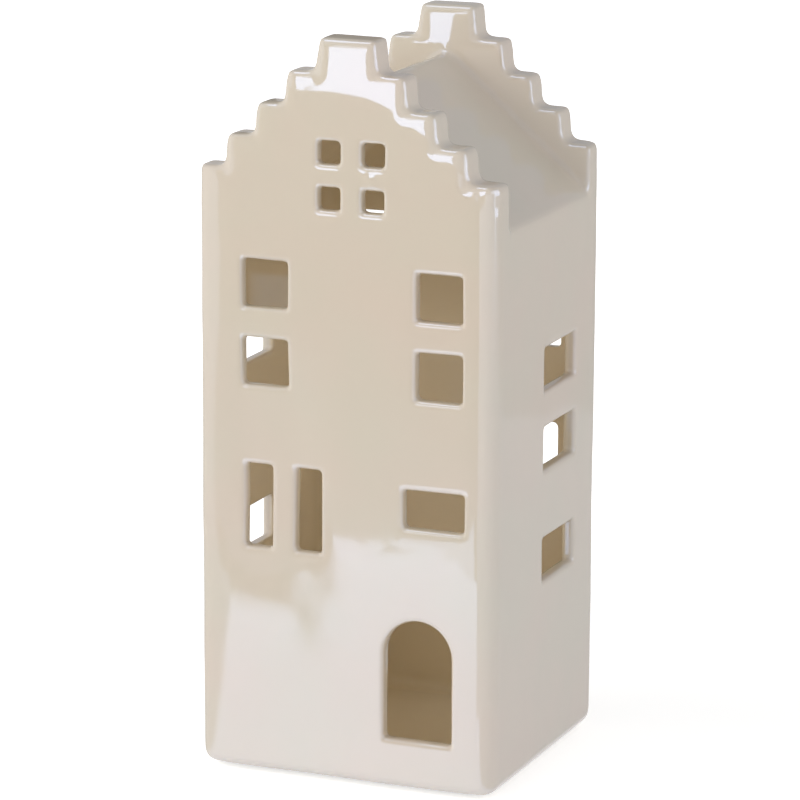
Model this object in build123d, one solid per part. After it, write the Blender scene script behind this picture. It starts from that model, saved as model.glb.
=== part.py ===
from build123d import *
import os

# Tealight house: a slip-cast, glazed ceramic canal house with a stepped gable at
# the front and the back, a saddle roof between them and open windows in all four
# walls. It stands on four felt dots. Millimetres, +Z up, front towards -Y, origin
# on the table under the middle of the base.

# Outer form
width = 97.0
depth = 90.4
wall_height = 187.4        # base to the lowest step of the gable
step_rise = 10.1           # height of each gable step
step_levels = 5            # levels of equal width, from the wall to the top block
riser_lean = 1.2           # each riser leans in by this over its height
gable_thickness = 11.0     # gable above the roof, front to back
eave_drop = 15.4           # lowest step down to the line where roof and side wall meet
roof_rise = 42.0           # eaves up to the line where the two roof slopes meet

# Cast wall
wall_thickness = 4.2
floor_thickness = 4.6

# Rounding left by the mould and softened by the glaze
corner_round = 4.6         # upright corners of the house
foot_round = 4.0           # bottom edge
gable_round = 3.0          # edges of the gables and the eaves
step_fillet = 1.3          # inner corners of the steps
ridge_round = 6.0
front_sweep = 12.0         # hollow where the roof sweeps up to the front gable
back_sweep = 4.0           # the same at the back gable
cavity_round = 4.0         # corners of the hollow inside
rim_bevel = 0.8            # soft outer rims of the openings

# Openings, seen from outside the wall they are cut in
# Four small windows high in the gable
attic_size = 7.6
attic_pitch = 14.1
attic_rise = 13.9
attic_offset = 2.0
attic_height = 187.0
# Four square windows on the two upper floors
square_size = 15.3
square_pitch = 56.3
square_rise = 24.0
square_offset = 2.3
square_height = 140.7
# A tall pair and a wide window on the floor below them
tall_width = 9.3
tall_size = 26.4
tall_pitch = 16.4
tall_offset = -20.0
tall_height = 83.9
wide_width = 20.0
wide_size = 12.6
wide_offset = 29.0
wide_height = 87.8
# Arched front door
door_width = 22.5
door_size = 38.0
door_offset = 24.0
door_sill = 15.5
# Column of three windows in each side wall
side_width = 27.5
side_size = 14.0
side_offset = 10.5
side_height_shares = (0.283, 0.437, 0.545)   # of the whole height of the house
left_lift = 3.6            # hand cutting set the left windows this much higher
back_shift = -3.5          # and the back windows this much to the side
window_corner = 1.5

# Candle opening low in the back wall, wide enough for a tealight in its cup
candle_width = 40.0
candle_size = 34.0
candle_offset = -22.5
candle_sill = 9.0

# Underside
foot_rim = 13.0            # width of the flat rim that is wiped clean of glaze
foot_recess = 1.2
recess_corner = 14.0
pad_diameter = 10.0
pad_thickness = 1.0
pad_inset = 12.0           # pad centre in from each side of the base

overrun = 5.0              # how far cutting bodies run past what they cut
tolerance = 0.000001       # two sizes closer than this are the same
crease_cosine = 0.9        # faces that meet at a sharper turn than this are softened
fillet_limit_share = 0.45  # largest radius on a wall, in parts of its thickness

# Worked out from the sizes above
step_run = width / 2 / step_levels
house_height = wall_height + (step_levels - 1) * step_rise
valley_length = depth - 2 * gable_thickness
eave_height = wall_height - eave_drop
ridge_height = eave_height + roof_rise
roof_slope = roof_rise / (width / 2)
roof_thickness = wall_thickness * (1 + roof_slope**2)**0.5   # measured upright
inner_half = width / 2 - wall_thickness
inner_ridge = ridge_height - roof_thickness


def rounding(radius, *walls):
    """A radius that the thinnest of the given walls leaves room for."""
    return min(radius, *(wall * fillet_limit_share for wall in walls))


def wall_plane(side):
    """Plane on the outside of a wall: x to the viewer's right, y up, z outwards."""
    outward = {
        "front": Vector(0, -1, 0), "back": Vector(0, 1, 0),
        "right": Vector(1, 0, 0), "left": Vector(-1, 0, 0),
    }[side]
    reach = depth / 2 if side in ("front", "back") else width / 2
    return Plane(origin=outward * reach, x_dir=Vector(0, 0, 1).cross(outward), z_dir=outward)


def gable_outline():
    """Front view of the house: straight walls, then equal steps up to the top block."""
    half_steps = [(width / 2, 0), (width / 2, wall_height)]
    inner_corners = []
    for level in range(1, step_levels):
        foot = width / 2 - level * step_run + riser_lean / 2
        low = wall_height + (level - 1) * step_rise
        half_steps += [(foot, low), (foot - riser_lean, low + step_rise)]
        inner_corners.append(Vector(foot, low))
    mirrored = [(-x, z) for x, z in reversed(half_steps)]
    outline = make_face(Polyline(*half_steps, *mirrored, close=True))
    corners = outline.vertices().filter_by(
        lambda v: any((Vector(abs(v.X), v.Y) - corner).length < tolerance for corner in inner_corners)
    )
    return fillet(corners, rounding(step_fillet, step_run, step_rise))


def stepped_block():
    """The whole house before the roof is lowered between the gables."""
    return extrude(Plane.XZ * gable_outline(), amount=depth / 2, both=True)


def valley():
    """Space above the two roof slopes, between the gables."""
    reach = width / 2 + overrun
    low = eave_height - overrun * roof_slope
    top = house_height + overrun
    section = make_face(
        Polyline((-reach, top), (-reach, low), (0, ridge_height), (reach, low), (reach, top), close=True)
    )
    apex = section.vertices().sort_by_distance((0, ridge_height, 0))[0]
    section = fillet(apex, ridge_round)
    space = extrude(Plane.XZ * section, amount=valley_length / 2, both=True)
    for end, sweep in ((Axis.Y, back_sweep), (-Axis.Y, front_sweep)):
        seams = space.faces().sort_by(end)[-1].edges().filter_by(
            lambda edge: edge.center().Z < top - overrun and abs(edge.center().X) < reach - tolerance
        )
        space = fillet(seams, sweep)
    return space


def cavity():
    """Hollow inside the cast wall, from the floor up under the roof."""
    section = make_face(Polyline(
        (-inner_half, floor_thickness), (inner_half, floor_thickness),
        (inner_half, inner_ridge - roof_slope * inner_half), (0, inner_ridge),
        (-inner_half, inner_ridge - roof_slope * inner_half), close=True,
    ))
    hollow = extrude(Plane.XZ * section, amount=depth / 2 - wall_thickness, both=True)
    return fillet(hollow.edges(), cavity_round)


def creases(body, low):
    """Edges above a height where two faces meet at a clear angle."""
    faces_at = {}
    for face in body.faces():
        for edge in face.edges():
            faces_at.setdefault(edge, []).append(face)
    found = ShapeList()
    for edge, faces in faces_at.items():
        if edge.center().Z > low and len(faces) == 2:
            point = edge.center()
            if faces[0].normal_at(point).dot(faces[1].normal_at(point)) < crease_cosine:
                found.append(edge)
    return found


def outer_form():
    """Solid outside of the house with all its soft edges."""
    house = stepped_block() - valley()
    corners = house.edges().filter_by(Axis.Z).filter_by(
        lambda edge: abs(abs(edge.center().X) - width / 2) < tolerance and edge.length > eave_height
    )
    house = fillet(corners, corner_round)
    house = fillet(house.faces().sort_by(Axis.Z)[0].edges(), min(foot_round, corner_round))
    soft = rounding(gable_round, gable_thickness, step_run, step_rise)
    return fillet(creases(house, eave_height - front_sweep), soft)


def rounded_window(opening_width, opening_size):
    """Rectangular window with the small corner radius of a knife cut."""
    corner = rounding(window_corner, opening_width, opening_size)
    return make_face(RectangleRounded(opening_width, opening_size, corner).wire())


def arch(opening_width, opening_size):
    """Straight jambs with a round head, standing on the line y = 0."""
    radius = opening_width / 2
    spring = opening_size - radius
    jambs = Polyline((-radius, spring), (-radius, 0), (radius, 0), (radius, spring))
    head = RadiusArc((radius, spring), (-radius, spring), -radius)
    face = make_face(jambs + head)
    return fillet(face.vertices().group_by(Axis.Y)[0], rounding(window_corner, spring))


def street_windows(shift):
    """Windows that the front and the back wall share, on that wall's plane."""
    attic = Pos(attic_offset + shift, attic_height) * GridLocations(attic_pitch, attic_rise, 2, 2)
    square = Pos(square_offset + shift, square_height) * GridLocations(square_pitch, square_rise, 2, 2)
    tall = Pos(tall_offset + shift, tall_height) * GridLocations(tall_pitch, 0, 2, 1)
    cuts = [place * rounded_window(attic_size, attic_size) for place in attic]
    cuts += [place * rounded_window(square_size, square_size) for place in square]
    cuts += [place * rounded_window(tall_width, tall_size) for place in tall]
    cuts.append(Pos(wide_offset + shift, wide_height) * rounded_window(wide_width, wide_size))
    return cuts


def side_windows(lift):
    """Column of three windows in a side wall, on that wall's plane."""
    return [
        Pos(side_offset, share * house_height + lift) * rounded_window(side_width, side_size)
        for share in side_height_shares
    ]


def cut_openings(house, side, outlines):
    """Cut the outlines through one wall and soften their outer rims."""
    plane = wall_plane(side)
    for outline in outlines:
        house -= extrude(plane * outline, amount=overrun)
        house -= extrude(plane * outline, amount=-(wall_thickness + cavity_round))
    flat = house.faces().filter_by(
        lambda face: abs(plane.to_local_coords(face.center()).Z) < tolerance
    ).sort_by(SortBy.AREA)[-1]
    return chamfer(flat.inner_wires().edges(), rounding(rim_bevel, wall_thickness))


def house_body():
    """The cast house: hollow, with its windows, door and candle opening cut through."""
    door = Pos(door_offset, door_sill) * arch(door_width, door_size)
    candle_opening = Pos(candle_offset, candle_sill) * arch(candle_width, candle_size)
    house = outer_form() - cavity()
    house = cut_openings(house, "front", street_windows(0) + [door])
    house = cut_openings(house, "back", street_windows(back_shift) + [candle_opening])
    house = cut_openings(house, "right", side_windows(0))
    house = cut_openings(house, "left", side_windows(left_lift))
    recess = RectangleRounded(width - 2 * foot_rim, depth - 2 * foot_rim, recess_corner)
    return Pos(0, 0, pad_thickness) * (house - extrude(recess, amount=foot_recess))


def felt_pads():
    """Four felt dots on the flat rim of the base, one near each corner."""
    places = GridLocations(width - 2 * pad_inset, depth - 2 * pad_inset, 2, 2)
    return [place * extrude(Circle(pad_diameter / 2), amount=pad_thickness) for place in places]


os.makedirs("parts", exist_ok=True)
export_step(house_body(), "parts/house_body.step")
export_step(Compound(children=felt_pads()), "parts/felt_pads.step")
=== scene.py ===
import math

import bpy
from bpy.props import FloatProperty, FloatVectorProperty, IntProperty, PointerProperty
from mathutils import Matrix, Vector


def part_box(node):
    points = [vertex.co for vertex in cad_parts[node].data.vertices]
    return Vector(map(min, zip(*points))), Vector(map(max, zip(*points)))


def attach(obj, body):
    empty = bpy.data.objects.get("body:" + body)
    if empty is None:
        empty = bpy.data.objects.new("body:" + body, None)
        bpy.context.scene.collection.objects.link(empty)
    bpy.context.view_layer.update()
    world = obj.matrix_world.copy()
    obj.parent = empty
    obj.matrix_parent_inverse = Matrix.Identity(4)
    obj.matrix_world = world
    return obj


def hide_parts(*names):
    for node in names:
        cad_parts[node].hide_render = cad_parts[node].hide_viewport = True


bl_info = {
    "name": "Tealight House",
    "version": (1, 0, 0),
    "blender": (4, 5, 0),
    "location": "3D View > Sidebar > Tealight House",
    "description": "Casts and glazes a ceramic tealight house with stepped gables",
    "category": "Add Mesh",
}

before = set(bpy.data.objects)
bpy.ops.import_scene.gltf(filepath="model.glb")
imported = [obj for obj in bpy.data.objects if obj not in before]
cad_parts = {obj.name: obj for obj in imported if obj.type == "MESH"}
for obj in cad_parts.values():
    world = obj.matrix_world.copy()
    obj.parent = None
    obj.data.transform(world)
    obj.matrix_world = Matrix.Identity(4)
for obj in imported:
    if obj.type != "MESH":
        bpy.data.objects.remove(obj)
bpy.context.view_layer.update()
house_low, house_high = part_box("house_body")

mm = 0.001
touch = 1e-6  # metres; places closer than this are the same


def length(name, default, description):
    """A size in metres that the user can change."""
    return FloatProperty(
        name=name, default=default, description=description, unit="LENGTH", precision=5
    )


def colour(name, default, description):
    """A linear colour that the user can change."""
    return FloatVectorProperty(
        name=name, default=default, description=description, subtype="COLOR", size=3, min=0, max=1
    )


def whole_number(name, default, description):
    """A whole number that the user can change."""
    return IntProperty(name=name, default=default, description=description)


def brightness(name, default, description):
    """A brightness that the user can change; 1 is white."""
    return FloatProperty(name=name, default=default, description=description)


class HouseForm(bpy.types.PropertyGroup):
    """Outside of the house."""

    width: length("Width", house_high[0] - house_low[0], "Side wall to side wall")
    depth: length("Depth", house_high[1] - house_low[1], "Front wall to back wall")
    base: length("Base", house_low[2], "Height of the underside above the table")
    wall_height: length("Wall height", 187.4 * mm, "Underside to the lowest step")
    step_rise: length("Step rise", 10.1 * mm, "Height of each gable step")
    step_levels: whole_number("Step levels", 5, "Levels of equal width in a gable")
    riser_lean: length("Riser lean", 1.2 * mm, "How far each riser leans in over its height")
    gable_thickness: length("Gable thickness", 11.0 * mm, "Gable above the roof, front to back")
    eave_drop: length("Eave drop", 15.4 * mm, "Lowest step down to the eaves")
    roof_rise: length("Roof rise", 42.0 * mm, "Eaves up to the ridge")
    wall_thickness: length("Wall thickness", 4.2 * mm, "Thickness of the cast wall")
    floor_thickness: length("Floor thickness", 4.6 * mm, "Thickness of the floor")


class HouseSoftness(bpy.types.PropertyGroup):
    """How far the mould and the glaze round everything off."""

    corner_round: length("Corner round", 4.6 * mm, "Upright corners")
    foot_round: length("Foot round", 4.0 * mm, "Bottom edge")
    ridge_round: length("Ridge round", 6.0 * mm, "Top of the roof")
    front_sweep: length("Front sweep", 12.0 * mm, "Hollow where the roof meets the front gable")
    back_sweep: length("Back sweep", 4.0 * mm, "Hollow where the roof meets the back gable")
    cavity_round: length("Cavity round", 4.0 * mm, "Corners of the hollow inside")
    window_corner: length("Window corner", 0.6 * mm, "Corners of the cut windows")
    rim_bevel: length("Rim bevel", 0.8 * mm, "Soft outer rim of the openings")
    glaze_build: length("Glaze build", 0.3 * mm, "How far the glaze narrows an opening")
    pillow: length("Pillow", 0.55 * mm, "How far the gables ease back to their outline")
    pillow_width: length("Pillow width", 4.2 * mm, "Width of the strip that eases back")
    gable_soften: whole_number("Gable softening", 20, "Passes that round the gables")
    rim_soften: whole_number("Rim softening", 3, "Passes that round the window rims")
    ease: length("Ease", 0.8 * mm, "How far the front and the back ease back to their edges")
    ease_width: length("Ease width", 13 * mm, "Width of the strip that eases back")
    lean_start: length("Lean start", 10 * mm, "Height over which the lean sets in")
    ripple: length("Ripple", 0.045 * mm, "Small ripples of the glaze")
    ripple_size: length("Ripple size", 12 * mm, "Distance from ripple to ripple")
    swell: length("Swell", 0.25 * mm, "How far the cast walls swell and sag")
    swell_size: length("Swell size", 38.0 * mm, "Distance over which the walls swell and sag")
    parapet_lean: FloatProperty(
        name="Parapet lean", default=math.radians(5), subtype="ANGLE",
        description="How far the gable tops lean back",
    )
    grain: length("Mesh grain", 0.8 * mm, "Fineness of the rough casting")
    fine_grain: length("Fine grain", 0.65 * mm, "Fineness of the finished casting")
    foot_rim: length("Foot rim", 13 * mm, "Width of the flat rim under the base")
    foot_recess: length("Foot recess", 1.2 * mm, "Depth of the hollow inside that rim")
    recess_corner: length("Recess corner", 14 * mm, "Corners of that hollow")
    drip: length("Glaze drip", 0.28 * mm, "Height of the drop of glaze between the attic windows")
    triangles: whole_number("Triangles", 190000, "Most triangles in the casting")


class HouseOpenings(bpy.types.PropertyGroup):
    """Windows and door, seen from outside the wall they are cut in."""

    attic_size: length("Attic window", 7.6 * mm, "Side of the small windows")
    attic_pitch: length("Attic pitch", 14.1 * mm, "Small windows, side to side")
    attic_rise: length("Attic rise", 13.9 * mm, "Small windows, one above the other")
    attic_offset: length("Attic offset", 2.0 * mm, "Middle of the small windows")
    attic_height: length("Attic height", 187.0 * mm, "Small windows' middle above the underside")
    square_size: length("Square window", 15.3 * mm, "Side of the square windows")
    square_pitch: length("Square pitch", 56.3 * mm, "Square windows, side to side")
    square_rise: length("Square rise", 24.0 * mm, "Square windows, one above the other")
    square_offset: length("Square offset", 2.3 * mm, "Middle of the square windows")
    square_height: length("Square height", 140.7 * mm, "Square windows' middle above the underside")
    tall_width: length("Tall window width", 9.3 * mm, "Width of the tall pair")
    tall_size: length("Tall window height", 26.4 * mm, "Height of the tall pair")
    tall_pitch: length("Tall pitch", 16.4 * mm, "Tall pair, side to side")
    tall_offset: length("Tall offset", -20.0 * mm, "Middle of the tall pair")
    tall_height: length("Tall height", 83.9 * mm, "Middle of the tall pair above the underside")
    wide_width: length("Wide window width", 20.0 * mm, "Width of the wide window")
    wide_size: length("Wide window height", 12.6 * mm, "Height of the wide window")
    wide_offset: length("Wide offset", 29.0 * mm, "Middle of the wide window")
    wide_height: length("Wide height", 87.8 * mm, "Middle of the wide window above the underside")
    door_width: length("Door width", 22.5 * mm, "Width of the arched door")
    door_size: length("Door height", 38.0 * mm, "Sill to the top of the arch")
    door_offset: length("Door offset", 24.0 * mm, "Middle of the door")
    door_sill: length("Door sill", 15.5 * mm, "Door sill above the underside")
    side_width: length("Side window width", 27.5 * mm, "Width of the side windows")
    side_size: length("Side window height", 14.0 * mm, "Height of the side windows")
    side_offset: length("Side offset", 10.5 * mm, "Middle of the side windows")
    side_low: length("Low side window", 64.5 * mm, "Middle of the lowest side window")
    side_middle: length("Middle side window", 99.5 * mm, "Middle of the middle side window")
    side_high: length("High side window", 124.2 * mm, "Middle of the highest side window")
    left_lift: length("Left lift", 3.6 * mm, "How much higher the left windows were cut")
    back_shift: length("Back shift", -3.5 * mm, "How far aside the back windows were cut")
    candle_width: length("Candle opening width", 40.0 * mm, "Width of the opening in the back")
    candle_size: length("Candle opening height", 34.0 * mm, "Sill to the top of its arch")
    candle_offset: length("Candle offset", -22.5 * mm, "Middle of the opening in the back")
    candle_sill: length("Candle sill", 9.0 * mm, "Its sill above the underside")


class HouseFinish(bpy.types.PropertyGroup):
    """Colours of the glaze, the bare foot and the felt."""

    glaze: colour("Glaze", (0.81, 0.72, 0.57), "Cream glaze over the pale body")
    glaze_warm: colour("Warm glaze", (0.84, 0.71, 0.57), "Glaze where it lies thicker")
    # Paler and warmer than the outside glaze: painted light that stands in for light bouncing about
    # in the hollow.
    glaze_inside_painted_light: colour("Inside glaze", (0.93, 0.81, 0.61), "Glaze on the hollow inside")
    shine: colour("Shine", (0.56, 0.70, 1.0), "Tint of the pearl shine")
    clay: colour("Clay", (0.66, 0.60, 0.52), "Bare clay of the wiped foot")
    felt: colour("Felt", (0.36, 0.33, 0.29), "Felt of the dots under the base")


class HouseStudio(bpy.types.PropertyGroup):
    """Floor, screen and lamps round the house."""

    floor_radius: length("Floor radius", 4, "How far the floor reaches")
    floor_colour: colour("Floor colour", (0.92, 0.92, 0.92), "Plain pale floor")
    floor_glow: brightness("Floor glow", 0.6, "White added to the floor beside the house")
    floor_glow_far: brightness("Far floor glow", 0.9, "White added to the floor further away")
    ambient: brightness("Ambient", 1.6, "Light from all round, level with the house")
    ambient_top: brightness("Ambient above", 0.1, "Light from straight above")
    front_level: brightness("Front softbox", 1.7, "Brightness of the softbox in front")
    left_level: brightness("Left softbox", 2.4, "Brightness of the softbox at the left")
    right_level: brightness("Right softbox", 0.75, "Brightness of the softbox at the right")
    inside_fill: FloatProperty(
        name="Inside fill", default=0.0018, subtype="POWER", description="Light inside the house"
    )
    screen_distance: length("Screen distance", 0.31, "Dark screen, in front of the house")
    screen_height: length("Screen height", 0.19, "Top of the dark screen")
    screen_grey: brightness("Screen grey", 0.12, "Front screen")
    foot_grey: brightness("Foot grey", 0.3, "Foot of the front screen")
    back_grey: brightness("Back grey", 0.48, "Back screen")
    left_grey: brightness("Left grey", 0.45, "Card at the left")
    right_grey: brightness("Right grey", 0.62, "Card at the right")
    cloth_grey: brightness("Cloth grey", 0.6, "Cloth on the floor at the right")
    patch_grey: brightness("Patch grey", 0.2, "Cloth on the floor at the left")
    margin_grey: brightness("Margin grey", 0.5, "Edge of the floor at the left")
    strip_grey: brightness("Strip grey", 0.5, "Strip on the floor between them")
    ceiling_grey: brightness("Ceiling grey", 0.35, "Ceiling over the house")
    room_grey: brightness("Room grey", 0.35, "Room behind the camera")
    flag_grey: brightness("Flag grey", 0.15, "Flags behind the front gable")
    sheet_level: brightness("Sheet", 1.0, "Edge of the white sheet in front of the house")
    glow_level: brightness("Glow", 2.3, "Highlight of the gable and the sills")


def sizes():
    """The scene's settings for the form, softness, openings and finish."""
    scene = bpy.context.scene
    return scene.house_form, scene.house_softness, scene.house_openings, scene.house_finish


def only(piece):
    """Leave edit mode, select one object alone and make it the active one."""
    if bpy.context.mode != "OBJECT":
        bpy.ops.object.mode_set(mode="OBJECT")
    bpy.ops.object.select_all(action="DESELECT")
    piece.select_set(True)
    bpy.context.view_layer.objects.active = piece


def settle(piece):
    """Put an object's place, turn and scale into its mesh."""
    only(piece)
    bpy.ops.object.transform_apply(location=True, rotation=True, scale=True)


def block(name, low, high):
    """A box between two corners."""
    low, high = Vector(low), Vector(high)
    bpy.ops.object.select_all(action="DESELECT")
    bpy.ops.mesh.primitive_cube_add(size=1, location=(low + high) / 2)
    piece = bpy.context.active_object
    piece.name = name
    piece.scale = high - low
    settle(piece)
    return piece


def choose(piece, kind, test):
    """Select the vertices, edges or faces of a piece that pass a test, in edit mode."""
    only(piece)
    bpy.ops.object.mode_set(mode="EDIT")
    bpy.ops.mesh.select_mode(type=kind)
    bpy.ops.mesh.select_all(action="DESELECT")
    bpy.ops.object.mode_set(mode="OBJECT")
    mesh = piece.data
    if kind == "VERT":
        for vertex in mesh.vertices:
            vertex.select = test(vertex.co)
    elif kind == "EDGE":
        for edge in mesh.edges:
            edge.select = test(*(mesh.vertices[i].co for i in edge.vertices))
    else:
        for face in mesh.polygons:
            face.select = test(face)
    bpy.ops.object.mode_set(mode="EDIT")


def round_edges(piece, radius, test, segments):
    """Bevel the edges whose two ends pass a test."""
    choose(piece, "EDGE", test)
    bpy.ops.mesh.bevel(
        offset=radius, segments=segments, profile=0.5, affect="EDGES", clamp_overlap=True
    )
    bpy.ops.object.mode_set(mode="OBJECT")


def apply_modifier(piece, kind, **settings):
    """Add a modifier with its settings and apply it."""
    only(piece)
    modifier = piece.modifiers.new(kind.title(), kind)
    for key, value in settings.items():
        setattr(modifier, key, value)
    bpy.ops.object.modifier_apply(modifier=modifier.name)


def join(pieces):
    """Make one object of several."""
    bpy.ops.object.select_all(action="DESELECT")
    for piece in pieces:
        piece.select_set(True)
    bpy.context.view_layer.objects.active = pieces[0]
    bpy.ops.object.join()
    return pieces[0]


def remove(piece):
    """Take away a cutting body that has done its work."""
    bpy.data.objects.remove(piece, do_unlink=True)


def cut(piece, cutter):
    """Take one body away from another."""
    apply_modifier(piece, "BOOLEAN", operation="DIFFERENCE", object=cutter, solver="EXACT")
    remove(cutter)


def voxel(piece, size):
    """Recast a piece as one even skin."""
    apply_modifier(piece, "REMESH", mode="VOXEL", voxel_size=size)


def upright(a, b):
    """True for an edge that runs straight up."""
    return abs(a.x - b.x) < touch and abs(a.y - b.y) < touch


def level_top(form, level):
    """Height of the top of one level of the gable's steps; level 0 is the wall."""
    return form.base + form.wall_height + level * form.step_rise


def roof_lines(form):
    """Slope of the roof, and the heights of its eaves and its ridge."""
    eave = form.base + form.wall_height - form.eave_drop
    return form.roof_rise / (form.width / 2), eave, eave + form.roof_rise


def stepped_block(form, soft):
    """Walls and stepped gable outline over the whole depth, before the roof is lowered."""
    half, reach = form.width / 2, form.depth / 2
    run = half / form.step_levels
    walls = block("walls", (-half, -reach, form.base), (half, reach, form.base + form.wall_height))
    round_edges(walls, soft.corner_round, upright, segments=8)
    underside = form.base + touch
    round_edges(walls, soft.foot_round, lambda a, b: max(a.z, b.z) < underside, segments=6)
    levels = [walls]
    for level in range(1, form.step_levels):
        foot = half - level * run + form.riser_lean / 2
        top = level_top(form, level)
        buried = top - 2 * form.step_rise
        widen = 1 + form.riser_lean / foot
        step = block("step", (-foot, -reach, buried), (foot, reach, top))
        choose(step, "VERT", lambda co: co.z < top - form.step_rise)
        bpy.ops.transform.resize(value=(widen, 1, 1), center_override=(0, 0, buried))
        choose(step, "VERT", lambda co: co.z > top - form.step_rise)
        bpy.ops.transform.resize(value=(2 - widen, 1, 1), center_override=(0, 0, top))
        bpy.ops.object.mode_set(mode="OBJECT")
        levels.append(step)
    return join(levels)


def valley(form, soft):
    """Space above the two roof slopes, between the gables."""
    spare = 6 * mm
    reach = form.width / 2 + spare
    end = form.depth / 2 - form.gable_thickness
    slope, eave, ridge = roof_lines(form)
    low = eave - slope * spare
    top = level_top(form, form.step_levels)
    space = block("valley", (-reach, -end, low), (reach, end, top))
    choose(space, "FACE", lambda face: True)
    bpy.ops.mesh.bisect(plane_co=(0, 0, 0), plane_no=(1, 0, 0))
    choose(space, "VERT", lambda co: abs(co.x) < touch and co.z < top - touch)
    bpy.ops.transform.translate(value=(0, 0, ridge - low))
    bpy.ops.object.mode_set(mode="OBJECT")
    round_edges(space, soft.ridge_round * slope / 2, lambda a, b: (
        max(abs(a.x), abs(b.x)) < touch and a.z < top - touch
    ), segments=6)
    for sign, sweep in ((-1, soft.front_sweep), (1, soft.back_sweep)):
        round_edges(space, sweep, lambda a, b: (
            min(a.y * sign, b.y * sign) > end - touch
            and max(a.z, b.z) < top - touch and abs(a.x - b.x) > touch
        ), segments=8)
    return space


def cavity(form, soft):
    """Hollow inside the cast wall, from the floor up under the roof."""
    half = form.width / 2 - form.wall_thickness
    reach = form.depth / 2 - form.wall_thickness
    slope, _, ridge = roof_lines(form)
    inner_ridge = ridge - form.wall_thickness * math.hypot(1, slope)
    eave = inner_ridge - slope * half
    hollow = block("cavity", (-half, -reach, form.base + form.floor_thickness), (half, reach, eave))
    choose(hollow, "FACE", lambda face: True)
    bpy.ops.mesh.bisect(plane_co=(0, 0, 0), plane_no=(1, 0, 0))
    choose(hollow, "VERT", lambda co: abs(co.x) < touch and co.z > eave - touch)
    bpy.ops.transform.translate(value=(0, 0, inner_ridge - eave))
    bpy.ops.object.mode_set(mode="OBJECT")
    apply_modifier(
        hollow, "BEVEL", width=soft.cavity_round, segments=5,
        limit_method="ANGLE", angle_limit=math.radians(20),
    )
    return hollow


def wall_matrix(form, side):
    """Matrix from a wall's own view (x right, y up, z outwards) to the house."""
    outward = {
        "front": Vector((0, -1, 0)), "back": Vector((0, 1, 0)),
        "right": Vector((1, 0, 0)), "left": Vector((-1, 0, 0)),
    }[side]
    reach = form.depth / 2 if side in ("front", "back") else form.width / 2
    up = Vector((0, 0, 1))
    right = up.cross(outward)
    matrix = Matrix((right, up, outward)).transposed().to_4x4()
    matrix.translation = outward * reach + up * form.base
    return matrix


def cut_depths(form, soft):
    """How far a window cutter runs inwards and outwards from the wall's face."""
    inward, outward = -(form.wall_thickness + soft.cavity_round), 1.5 * mm
    return inward, outward


def flare(cutter, rim):
    """Widen a cutter outside the wall's face, so that it leaves a soft outer rim."""
    low, high = (Vector(cutter.bound_box[corner]) for corner in (0, 6))
    middle, half, reach = (low + high) / 2, (high - low) / 2, high.z
    choose(cutter, "FACE", lambda face: True)
    bpy.ops.mesh.bisect(plane_co=(0, 0, -rim), plane_no=(0, 0, 1))
    choose(cutter, "VERT", lambda co: co.z > reach - touch)
    wider = [(half[axis] + reach + rim) / half[axis] for axis in (0, 1)]
    bpy.ops.transform.resize(value=(*wider, 1), center_override=middle)
    bpy.ops.object.mode_set(mode="OBJECT")


def window_cutter(form, soft, place, opening_width, opening_height):
    """Cutter for one rectangular window, in the wall's own view."""
    inward, outward = cut_depths(form, soft)
    x, y = place
    half, rise = opening_width / 2 - soft.glaze_build, opening_height / 2 - soft.glaze_build
    cutter = block("window", (x - half, y - rise, inward), (x + half, y + rise, outward))
    round_edges(cutter, soft.window_corner, lambda a, b: abs(a.z - b.z) > touch, segments=4)
    flare(cutter, soft.rim_bevel)
    return cutter


def arch_cutter(form, soft, place, opening_width, opening_height):
    """Cutter with straight jambs and a round head that stands on its place."""
    inward, outward = cut_depths(form, soft)
    x, y = place
    radius = opening_width / 2 - soft.glaze_build
    spring = y + opening_height - opening_width / 2
    overlap = 1 * mm
    cutter = block("arch", (x - radius, y, inward), (x + radius, spring, outward))
    round_edges(cutter, soft.window_corner, lambda a, b: (
        abs(a.z - b.z) > touch and a.y < y + touch
    ), segments=4)
    bpy.ops.object.select_all(action="DESELECT")
    bpy.ops.mesh.primitive_cylinder_add(
        vertices=64, radius=radius, depth=outward - inward,
        location=(x, spring, (outward + inward) / 2),
    )
    head = bpy.context.active_object
    settle(head)
    choose(head, "FACE", lambda face: True)
    bpy.ops.mesh.bisect(
        plane_co=(x, spring - overlap, 0), plane_no=(0, 1, 0), clear_inner=True, use_fill=True
    )
    bpy.ops.object.mode_set(mode="OBJECT")
    apply_modifier(cutter, "BOOLEAN", operation="UNION", object=head, solver="EXACT")
    remove(head)
    flare(cutter, soft.rim_bevel)
    return cutter


def street_cutters(form, soft, cuts, shift):
    """Cutters of the windows that the front and the back share, in the wall's own view."""
    cutters = []
    for column in (-0.5, 0.5):
        for row in (-0.5, 0.5):
            attic = (
                cuts.attic_offset + shift + column * cuts.attic_pitch,
                cuts.attic_height + row * cuts.attic_rise,
            )
            square = (
                cuts.square_offset + shift + column * cuts.square_pitch,
                cuts.square_height + row * cuts.square_rise,
            )
            cutters.append(window_cutter(form, soft, attic, cuts.attic_size, cuts.attic_size))
            cutters.append(window_cutter(form, soft, square, cuts.square_size, cuts.square_size))
        tall = (cuts.tall_offset + shift + column * cuts.tall_pitch, cuts.tall_height)
        cutters.append(window_cutter(form, soft, tall, cuts.tall_width, cuts.tall_size))
    wide = (cuts.wide_offset + shift, cuts.wide_height)
    cutters.append(window_cutter(form, soft, wide, cuts.wide_width, cuts.wide_size))
    return cutters


def side_cutters(form, soft, cuts, lift):
    """Cutters of the column of windows in a side wall, in the wall's own view."""
    heights = (cuts.side_low, cuts.side_middle, cuts.side_high)
    places = [(cuts.side_offset, height + lift) for height in heights]
    return [window_cutter(form, soft, place, cuts.side_width, cuts.side_size) for place in places]


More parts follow.
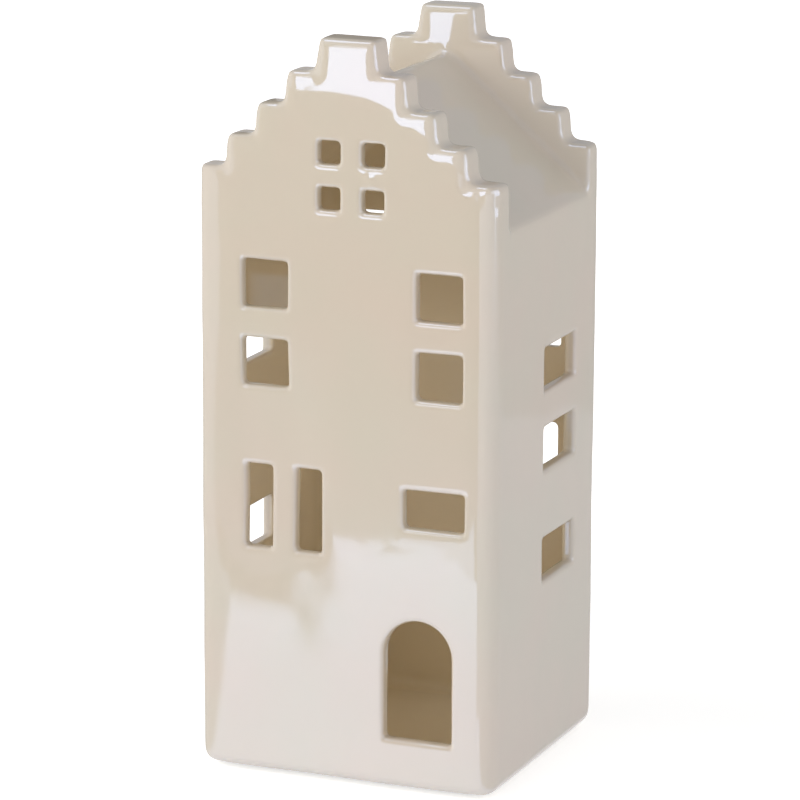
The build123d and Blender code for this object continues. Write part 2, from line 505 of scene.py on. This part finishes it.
def wall_cutter(form, side, cutters):
    """Carry a wall's cutters from its own view to the house, as one object."""
    cutter = join(cutters)
    cutter.matrix_world = wall_matrix(form, side)
    settle(cutter)
    return cutter


def house_cutters(form, soft, cuts):
    """One object for each wall that holds all its cutters."""
    door = arch_cutter(
        form, soft, (cuts.door_offset, cuts.door_sill), cuts.door_width, cuts.door_size
    )
    candle_opening = arch_cutter(
        form, soft, (cuts.candle_offset, cuts.candle_sill), cuts.candle_width, cuts.candle_size
    )
    front = wall_cutter(form, "front", street_cutters(form, soft, cuts, 0) + [door])
    back = street_cutters(form, soft, cuts, cuts.back_shift) + [candle_opening]
    back = wall_cutter(form, "back", back)
    right = wall_cutter(form, "right", side_cutters(form, soft, cuts, 0))
    left = wall_cutter(form, "left", side_cutters(form, soft, cuts, cuts.left_lift))
    return [front, back, right, left]


def swell_walls(house, soft):
    """Let the walls swell and sag as a cast does in the kiln, and the glaze ripple over them."""
    waves = (("swell", soft.swell_size, soft.swell), ("ripple", soft.ripple_size, soft.ripple))
    for name, size, depth in waves:
        clouds = bpy.data.textures.new(name, "CLOUDS")
        clouds.noise_scale = size
        clouds.noise_depth = 1
        apply_modifier(
            house, "DISPLACE", texture=clouds, texture_coords="LOCAL", strength=2 * depth,
            mid_level=0.5, direction="NORMAL",
        )


def ramp(value, start, end):
    """0 at the start, 1 at the end and smooth between them."""
    share = min(1, max(0, (value - start) / (end - start)))
    return share * share * (3 - 2 * share)


def push(house, axis, strength, weight):
    """Move the mesh along an axis by a strength times each vertex's weight."""
    group = house.vertex_groups.new(name="push")
    for vertex in house.data.vertices:
        amount = weight(vertex.co)
        if amount > 0:
            group.add([vertex.index], min(1, amount), "REPLACE")
    apply_modifier(
        house, "DISPLACE", direction=axis, strength=strength, mid_level=0, vertex_group="push"
    )
    house.vertex_groups.clear()


def lean_parapets(house, form, soft):
    """Let the gable tops lean back: the front one above an arc, the back one at its top block."""
    block_foot = level_top(form, form.step_levels - 1) - form.step_rise
    front_gable, back_gable = -10 * mm, 25 * mm
    crown, crown_middle, curve = 206.8 * mm + form.base, -5 * mm, 14
    left_end, right_end = (-22 * mm, -13 * mm), (42.5 * mm, 45.5 * mm)
    block_start, block_ease, block_end = 3 * mm, 2 * mm, (-12 * mm, -9 * mm)
    reach = 40 * mm

    def eased(height, start):
        if height < 0:
            return 0
        return height**2 / (2 * start) if height < start else height - start / 2

    def above_arc(co):
        if co.y >= front_gable:
            return 0
        arc = crown - curve * (co.x - crown_middle) ** 2
        return eased(co.z - arc, soft.lean_start) / reach * (
            ramp(co.x, *left_end) * (1 - ramp(co.x, *right_end))
        )

    def above_block(co):
        if co.y <= back_gable:
            return 0
        return eased(co.z - block_foot + block_start, block_ease) / reach * ramp(co.x, *block_end)

    for weight in (above_arc, above_block):
        push(house, "Y", reach * math.tan(soft.parapet_lean), weight)


def inside_outline(form, x, z):
    """How far a point of a gable lies inside the risers and the top of the stepped outline."""
    half, run = form.width / 2, form.width / 2 / form.step_levels
    across = abs(x)
    nearest = math.hypot(level_top(form, form.step_levels - 1) - z, max(0, across - run))
    for level in range(form.step_levels):
        edge, top = half - level * run, level_top(form, level)
        bottom = top - form.step_rise if level else 0
        nearest = min(nearest, math.hypot(edge - across, max(0, bottom - z, z - top)))
    return nearest


def pillow_gables(house, form, soft):
    """Ease the gables' outer faces, and the inner face of the back one's top, to their outline."""
    low, block_foot = level_top(form, -1), level_top(form, form.step_levels - 2)
    outer, inner = form.depth / 2, form.depth / 2 - form.gable_thickness
    near = 3 * mm

    def near_outline(face, foot):
        def weight(co):
            if co.z <= foot or abs(co.y - face) > near:
                return 0
            share = max(0, 1 - inside_outline(form, co.x, co.z) / soft.pillow_width)
            return share**2 * ramp(co.z, low, low + form.step_rise / 2)

        return weight

    push(house, "Y", soft.pillow, near_outline(-outer, low))
    push(house, "Y", soft.pillow, near_outline(inner, block_foot))
    push(house, "Y", -soft.pillow, near_outline(outer, low))


def sag_walls(house, form, soft):
    """Ease the front and back to their edges, press the front in at the tall pair, add the drip."""
    edge = form.width / 2
    inner, outer = 30 * mm, 36 * mm
    press, press_x, press_z = 1.1 * mm, -24 * mm, 100 * mm
    press_across, press_along = (6 * mm, 22 * mm), (0, 46 * mm)
    drip_x, drip_z, drip_radius, drip_face = 8.4 * mm, 188 * mm, 2.8 * mm, -40 * mm

    def near_edges(side):
        def weight(co):
            share = max(0, abs(co.x) - edge + soft.ease_width) / soft.ease_width
            return share**2 * ramp(side * co.y, inner, outer)

        return weight

    def near_tall_windows(co):
        if co.y > -inner:
            return 0
        across = 1 - ramp(abs(co.x - press_x), *press_across)
        along = 1 - ramp(abs(co.z - press_z), *press_along)
        return across * along

    def at_drip(co):
        if co.y >= drip_face:
            return 0
        return 1 - ramp(math.hypot(co.x - drip_x, co.z - drip_z), 0, drip_radius)

    for side in (1, -1):
        push(house, "Y", -side * soft.ease, near_edges(side))
    push(house, "Y", press, near_tall_windows)
    push(house, "Y", -soft.drip, at_drip)


def foot_recess(form, soft):
    """Cutter for the shallow hollow inside the foot rim."""
    half, reach = form.width / 2 - soft.foot_rim, form.depth / 2 - soft.foot_rim
    low, high = form.base - soft.foot_recess, form.base + soft.foot_recess
    cutter = block("recess", (-half, -reach, low), (half, reach, high))
    round_edges(cutter, soft.recess_corner, upright, segments=10)
    return cutter


def thin_out(house, most):
    """Bring a mesh under a number of triangles."""
    house.data.calc_loop_triangles()
    count = len(house.data.loop_triangles)
    if count > most:
        apply_modifier(house, "DECIMATE", ratio=most / count)


def model_house():
    """The whole casting as one closed mesh."""
    form, soft, cuts = sizes()[:3]
    house = stepped_block(form, soft)
    house.name = "glazed_house"
    voxel(house, soft.grain)
    cut(house, valley(form, soft))
    voxel(house, soft.grain)
    apply_modifier(house, "SMOOTH", factor=0.5, iterations=soft.gable_soften)
    pillow_gables(house, form, soft)
    lean_parapets(house, form, soft)
    cut(house, cavity(form, soft))
    for cutter in house_cutters(form, soft, cuts) + [foot_recess(form, soft)]:
        cut(house, cutter)
    voxel(house, soft.fine_grain)
    apply_modifier(house, "SMOOTH", factor=0.5, iterations=soft.rim_soften)
    sag_walls(house, form, soft)
    swell_walls(house, soft)
    thin_out(house, soft.triangles)
    only(house)
    bpy.ops.object.shade_smooth()
    return house


def nodes_of(material):
    """The node tree of a material and its shader."""
    material.use_nodes = True
    tree = material.node_tree
    return tree, next(node for node in tree.nodes if node.type == "BSDF_PRINCIPLED")


def set_sockets(node, **values):
    """Set a node's sockets, each by its name with _ for a space."""
    for name, value in values.items():
        node.inputs[name.replace("_", " ")].default_value = value


def noise(tree, size, detail, roughness=0.5):
    """Noise of a size in metres, in the piece's own coordinates."""
    coordinates = tree.nodes.new("ShaderNodeTexCoord")
    texture = tree.nodes.new("ShaderNodeTexNoise")
    set_sockets(texture, Scale=1 / size, Detail=detail, Roughness=roughness)
    tree.links.new(coordinates.outputs["Object"], texture.inputs["Vector"])
    return texture.outputs["Fac"]


def axes(tree, place):
    """The three axes of a place."""
    split = tree.nodes.new("ShaderNodeSeparateXYZ")
    tree.links.new(place, split.inputs[0])
    return split.outputs


def maths(tree, operation, *values):
    """One Math node over values or sockets."""
    node = tree.nodes.new("ShaderNodeMath")
    node.operation = operation
    for socket, value in zip(node.inputs, values):
        if isinstance(value, (int, float)):
            socket.default_value = value
        else:
            tree.links.new(value, socket)
    return node.outputs[0]


def carried(tree, value, start, end, low=0, high=1, kind="LINEAR"):
    """A value carried from one range to another, and held at its ends."""
    node = tree.nodes.new("ShaderNodeMapRange")
    node.interpolation_type = kind
    set_sockets(node, From_Min=start, From_Max=end, To_Min=low, To_Max=high)
    tree.links.new(value, node.inputs["Value"])
    return node.outputs["Result"]


def inside_share(tree, form):
    """1 on the walls of the hollow inside, 0 on the outside, from the piece's own coordinates; it
    places the painted inside light and the less glossy inside glaze.
    """
    place = axes(tree, tree.nodes.new("ShaderNodeTexCoord").outputs["Object"])
    slope, _, ridge = roof_lines(form)
    across = maths(tree, "ABSOLUTE", place["X"])
    deep = maths(tree, "ABSOLUTE", place["Y"])
    side = maths(tree, "SUBTRACT", across, form.width / 2 - form.wall_thickness)
    end = maths(tree, "SUBTRACT", deep, form.depth / 2 - form.wall_thickness)
    roof = maths(tree, "SUBTRACT", maths(tree, "MULTIPLY_ADD", across, slope, place["Z"]), ridge)
    roof = maths(tree, "DIVIDE", roof, math.hypot(1, slope))
    roof = maths(tree, "ADD", roof, form.wall_thickness)
    outwards = maths(tree, "MAXIMUM", maths(tree, "MAXIMUM", side, end), roof)
    halfway = 2 * mm
    return carried(tree, outwards, halfway, 0)


def wiped_share(tree, form):
    """1 on the flat foot rim that is wiped clean of glaze, 0 above it."""
    place = axes(tree, tree.nodes.new("ShaderNodeTexCoord").outputs["Object"])
    glazed_from, wiped_below = form.base + 0.45 * mm, form.base + 0.3 * mm
    return carried(tree, place["Z"], glazed_from, wiped_below)


def over(tree, share, under, upper):
    """One surface laid over another by a share."""
    mix = tree.nodes.new("ShaderNodeMixShader")
    tree.links.new(share, mix.inputs["Fac"])
    tree.links.new(under.outputs[0], mix.inputs[1])
    tree.links.new(upper.outputs[0], mix.inputs[2])
    return mix


def blended(tree, share, start, end):
    """A colour between two colours or sockets."""
    mix = tree.nodes.new("ShaderNodeMix")
    mix.data_type = "RGBA"
    for key, value in (("Factor", share), ("A", start), ("B", end)):
        socket = next(item for item in mix.inputs if item.name == key and item.enabled)
        if isinstance(value, bpy.types.NodeSocket):
            tree.links.new(value, socket)
        else:
            socket.default_value = (*value, 1)
    return next(item for item in mix.outputs if item.enabled)


def darker(tone, share):
    """A colour with a share of its brightness."""
    return [part * share for part in tone]


def glaze_material(form, finish):
    """Glossy pearl glaze outside; in the hollow a less glossy glaze whose paler, warmer colour is
    painted light for light bouncing about inside; bare clay on the wiped foot.
    """
    material = bpy.data.materials.new("pearl_glaze")
    tree, shader = nodes_of(material)
    hollow = tree.nodes.new("ShaderNodeBsdfPrincipled")
    foot = tree.nodes.new("ShaderNodeBsdfPrincipled")
    thin, thick = 0.35, 0.65
    drift = carried(tree, noise(tree, 45 * mm, detail=3), thin, thick)
    outside = blended(tree, drift, finish.glaze, finish.glaze_warm)
    inside = inside_share(tree, form)
    # Inside the hollow the colour turns paler and warmer: painted light, for light that bounces
    # about inside.
    glaze_and_inside_painted_light = blended(tree, inside, outside, finish.glaze_inside_painted_light)
    clay = blended(tree, noise(tree, 0.8 * mm, detail=4), darker(finish.clay, 0.8), finish.clay)
    for surface, tone in ((shader, glaze_and_inside_painted_light), (hollow, glaze_and_inside_painted_light), (foot, clay)):
        tree.links.new(tone, surface.inputs["Base Color"])
    set_sockets(shader, Roughness=0.05, IOR=2.65, Specular_Tint=(*finish.shine, 1))
    set_sockets(hollow, Roughness=0.12, IOR=1.7)
    set_sockets(foot, Roughness=0.85)
    glazed = over(tree, inside, shader, hollow)
    wiped = over(tree, wiped_share(tree, form), glazed, foot)
    tree.links.new(wiped.outputs[0], tree.nodes["Material Output"].inputs["Surface"])
    return material


def felt_material(finish):
    """Pressed wool felt with a fibrous surface."""
    material = bpy.data.materials.new("pressed_felt")
    tree, shader = nodes_of(material)
    fibre = noise(tree, 0.5 * mm, detail=6, roughness=0.7)
    tones = tree.nodes.new("ShaderNodeValToRGB")
    tones.color_ramp.elements[0].color = (*darker(finish.felt, 0.7), 1)
    tones.color_ramp.elements[1].color = (*finish.felt, 1)
    tree.links.new(fibre, tones.inputs["Fac"])
    tree.links.new(tones.outputs["Color"], shader.inputs["Base Color"])
    bump = tree.nodes.new("ShaderNodeBump")
    set_sockets(bump, Strength=0.8, Distance=0.2 * mm)
    tree.links.new(fibre, bump.inputs["Height"])
    tree.links.new(bump.outputs["Normal"], shader.inputs["Normal"])
    set_sockets(shader, Roughness=1.0, Sheen_Weight=0.4)
    return material


class TEALIGHT_OT_cast_house(bpy.types.Operator):
    """Cast and glaze the house: walls, stepped gables, roof, hollow, windows and door"""

    bl_idname = "tealight.cast_house"
    bl_label = "Cast House"

    def execute(self, context):
        house = model_house()
        house.data.materials.clear()
        form, _, _, finish = sizes()
        house.data.materials.append(glaze_material(form, finish))
        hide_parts("house_body")
        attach(house, "root")
        return {"FINISHED"}


class TEALIGHT_OT_dress_pads(bpy.types.Operator):
    """Give the dots under the base their pressed felt"""

    bl_idname = "tealight.dress_pads"
    bl_label = "Dress Felt Pads"

    def execute(self, context):
        finish = sizes()[3]
        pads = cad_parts["felt_pads"]
        for material_slot in pads.material_slots:
            material_slot.material = felt_material(finish)
        return {"FINISHED"}


class TEALIGHT_OT_set_studio(bpy.types.Operator):
    """Set up the floor, the cards, the lamps and the camera"""

    bl_idname = "tealight.set_studio"
    bl_label = "Set Studio"

    def execute(self, context):
        scene = context.scene
        scene.view_settings.view_transform = "Standard"
        studio = scene.house_studio
        lay_floor(studio)
        for card in gloss_cards(studio):
            put_card(*card)
        light_world(scene, studio)
        hang_lamps(studio)
        place_camera(scene)
        return {"FINISHED"}


def seen_directly(tree):
    """1 for a ray that comes from the camera, a mirror-like surface or clear glass, else 0."""
    path = tree.nodes.new("ShaderNodeLightPath").outputs
    either = maths(tree, "MAXIMUM", path["Is Camera Ray"], path["Is Glossy Ray"])
    return maths(tree, "MAXIMUM", either, path["Is Transmission Ray"])


def lay_floor(studio):
    """A plain pale floor that the camera sees as white, but for the shadow of the house."""
    bpy.ops.object.select_all(action="DESELECT")
    bpy.ops.mesh.primitive_circle_add(
        vertices=128, radius=studio.floor_radius, fill_type="NGON", location=(0, 0, 0)
    )
    floor = bpy.context.active_object
    floor.name = "floor"
    material = bpy.data.materials.new("pale_floor")
    tree, shader = nodes_of(material)
    set_sockets(
        shader, Base_Color=(*studio.floor_colour, 1), Roughness=0.9, Specular_IOR_Level=0,
        Emission_Color=(1, 1, 1, 1),
    )
    away = tree.nodes.new("ShaderNodeVectorMath")
    away.operation = "LENGTH"
    tree.links.new(tree.nodes.new("ShaderNodeTexCoord").outputs["Object"], away.inputs[0])
    beside, far = 0.15, 0.4
    away = away.outputs["Value"]
    glow = carried(tree, away, beside, far, studio.floor_glow, studio.floor_glow_far)
    shown = maths(tree, "MULTIPLY", seen_directly(tree), glow)
    tree.links.new(shown, shader.inputs["Emission Strength"])
    floor.data.materials.append(material)


def gloss_cards(studio):
    """Name, middle, turn in degrees, size, brightness and fading edges of each card."""
    front, height = -studio.screen_distance, studio.screen_height
    flat, standing, sideways = (0, 0, 0), (90, 0, 0), (90, 0, 90)
    on_floor, at_glow = (0, 0, -23.85), (90, 0, -22.3)
    return (
        ("dark_screen", (-0.1, front, height / 2), standing, (1.2, height), studio.screen_grey),
        ("back_screen", (0.25, 0.42, 0.45), (90, 0, -20), (1.4, 0.9), studio.back_grey),
        ("right_cloth", (0.7, 0.2, 0.0005), flat, (1.3, 0.7), studio.cloth_grey),
        ("screen_foot", (-0.1, 0.001 + front, 0), standing, (1.2, 0.2), studio.foot_grey, (0, 0.5)),
        ("sheet_edge", (-0.0455, 0.002 + front, -0.0101), (90, -13, 0), (0.08, 0.04),
         studio.sheet_level),
        ("ceiling", (0, 0, 1.15), flat, (3.4, 3.4), studio.ceiling_grey),
        ("room", (0.9, -1.6, 0.7), standing, (2.6, 1.4), studio.room_grey),
        ("flag", (-0.0075, -0.02, 0.222), standing, (0.025, 0.04), studio.flag_grey),
        ("flag_left", (-0.0465, -0.02, 0.222), standing, (0.027, 0.04), studio.flag_grey),
        ("step_flag", (-0.032, -0.055, 0.2012), standing, (0.023, 0.0224), studio.screen_grey),
        ("left_card", (-0.12, -0.04, 0.2), sideways, (0.28, 0.4), studio.left_grey),
        ("right_card", (0.235, -0.12, 0.095), standing, (0.4, 0.19), studio.right_grey),
        ("gap_strip", (-0.0905, -0.2322, 0.0006), on_floor, (0.02, 0.2),
         studio.strip_grey, (0.5, 0.5)),
        ("left_patch", (-0.1922, -0.2869, 0.0009), on_floor, (0.141, 0.245),
         studio.patch_grey, (0.05, 0.28)),
        ("left_margin", (-0.1488, -0.1091, 0.0012), on_floor, (0.136, 0.28),
         studio.margin_grey, (0.08, 0)),
        ("glow", (-0.311, -1.0987, 0.325), at_glow, (0.343, 0.55), studio.glow_level),
        ("sill_glow", (-0.33, -0.22, 0.95), flat, (0.5, 0.45), studio.glow_level),
        ("glow_side", (-0.787, -0.904, 0.36), at_glow, (0.7, 0.9), studio.screen_grey),
    )


def put_card(name, middle, turn, size, grey, fades=(0, 0)):
    """A plain card that only the gloss of the house sees.

    It fades out over a share of its width and of its height at either edge.
    """
    bpy.ops.object.select_all(action="DESELECT")
    bpy.ops.mesh.primitive_grid_add(x_subdivisions=1, y_subdivisions=1, size=1)
    card = bpy.context.active_object
    card.name = name
    card.scale = (*size, 1)
    card.rotation_euler = [math.radians(angle) for angle in turn]
    card.location = middle
    settle(card)
    material = bpy.data.materials.new(name + "_cloth")
    tree, shader = nodes_of(material)
    set_sockets(
        shader, Base_Color=(0, 0, 0, 1), Specular_IOR_Level=0,
        Emission_Color=(1, 1, 1, 1), Emission_Strength=grey,
    )
    if any(fades):
        place = axes(tree, tree.nodes.new("ShaderNodeUVMap").outputs["UV"])
        shown = 1
        for axis, fade in zip(("X", "Y"), fades):
            if fade:
                from_edge = maths(tree, "PINGPONG", place[axis], 0.5)
                faded = carried(tree, from_edge, 0, fade, kind="SMOOTHSTEP")
                shown = maths(tree, "MULTIPLY", faded, shown)
        tree.links.new(shown, shader.inputs["Alpha"])
    card.data.materials.append(material)
    for kind in ("camera", "diffuse", "transmission", "shadow"):
        setattr(card, "visible_" + kind, False)


def light_world(scene, studio):
    """Light from all round that fades towards the top, and white behind the house."""
    world = bpy.data.worlds.new("studio")
    scene.world = world
    world.use_nodes = True
    tree = world.node_tree
    background = tree.nodes["Background"]
    place = axes(tree, tree.nodes.new("ShaderNodeTexCoord").outputs["Generated"])
    dome_top = 0.75
    dome = carried(tree, place["Z"], 0, dome_top, studio.ambient, studio.ambient_top)
    tree.links.new(maths(tree, "MAXIMUM", dome, seen_directly(tree)), background.inputs["Strength"])
    set_sockets(background, Color=(1, 1, 1, 1))


def hang(name, light, place):
    """A lamp at its place, not seen by the camera."""
    lamp = bpy.data.objects.new(name, light)
    bpy.context.collection.objects.link(lamp)
    lamp.location = place
    lamp.visible_camera = False
    return lamp


def hang_lamps(studio):
    """Softboxes in front, high at the left and at the right, and weak lamps inside the house."""
    middle, gable = (0, 0, 0.12), (0, 0, 0.2)
    softboxes = (
        ("front_softbox", (-0.43, -1.05, 0.36), gable, (0.95, 0.62), studio.front_level, False),
        ("left_softbox", (-0.75, -0.4, 0.85), middle, (0.6, 0.6), studio.left_level, False),
        ("right_softbox", (1.2, 0.05, 0.4), middle, (0.9, 0.8), studio.right_level, True),
    )
    for name, place, aim, size, level, mirrored in softboxes:
        light = bpy.data.lights.new(name, "AREA")
        light.shape = "RECTANGLE"
        light.size, light.size_y = size
        light.energy = math.pi * size[0] * size[1] * level
        lamp = hang(name, light, place)
        lamp.rotation_euler = (Vector(aim) - Vector(place)).to_track_quat("-Z", "Y").to_euler()
        lamp.visible_glossy = mirrored
    for height, share in ((0.045, 0.3), (0.105, 1.1), (0.16, 1.25)):
        light = bpy.data.lights.new("inside_fill", "POINT")
        light.energy, light.shadow_soft_size = studio.inside_fill * share, 0.02
        hang("inside_fill", light, (0, 0, height)).visible_glossy = False


def place_camera(scene):
    """The camera at the photograph's angle."""
    azimuth, elevation, roll = math.radians(22.46), math.radians(13.29), math.radians(0.26)
    distance = 1.349
    target = Vector((-0.4 * mm, 0, 110.8 * mm))
    across = math.cos(elevation)
    back = Vector((math.sin(azimuth) * across, -math.cos(azimuth) * across, math.sin(elevation)))
    level = Vector((math.cos(azimuth), math.sin(azimuth), 0))
    rise = back.cross(level)
    right = level * math.cos(roll) + rise * math.sin(roll)
    up = rise * math.cos(roll) - level * math.sin(roll)
    camera = bpy.data.objects.new("camera", bpy.data.cameras.new("camera"))
    bpy.context.collection.objects.link(camera)
    matrix = Matrix((right, up, back)).transposed().to_4x4()
    matrix.translation = target + back * distance
    camera.matrix_world = matrix
    camera.data.lens = 196.9
    camera.data.sensor_width = 36
    camera.data.clip_start = 0.05
    scene.camera = camera


class TEALIGHT_PT_house(bpy.types.Panel):
    """Settings and steps of the tealight house"""

    bl_idname = "TEALIGHT_PT_house"
    bl_label = "Tealight House"
    bl_space_type = "VIEW_3D"
    bl_region_type = "UI"
    bl_category = "Tealight House"

    def draw(self, context):
        layout = self.layout
        for name in groups:
            box = layout.box()
            group = getattr(context.scene, name)
            for key in group.__annotations__:
                box.prop(group, key)
        for operator in operators:
            layout.operator(operator.bl_idname)


groups = {
    "house_form": HouseForm,
    "house_softness": HouseSoftness,
    "house_openings": HouseOpenings,
    "house_finish": HouseFinish,
    "house_studio": HouseStudio,
}
operators = (TEALIGHT_OT_cast_house, TEALIGHT_OT_dress_pads, TEALIGHT_OT_set_studio)


def register():
    for cls in (*groups.values(), *operators, TEALIGHT_PT_house):
        bpy.utils.register_class(cls)
    for name, group in groups.items():
        setattr(bpy.types.Scene, name, PointerProperty(type=group))


def unregister():
    for name in groups:
        delattr(bpy.types.Scene, name)
    for cls in (TEALIGHT_PT_house, *reversed(operators), *reversed(groups.values())):
        bpy.utils.unregister_class(cls)


def main():
    """Make the whole object and its studio."""
    register()
    bpy.ops.tealight.cast_house()
    bpy.ops.tealight.dress_pads()
    bpy.ops.tealight.set_studio()


if __name__ == "__main__":
    main()
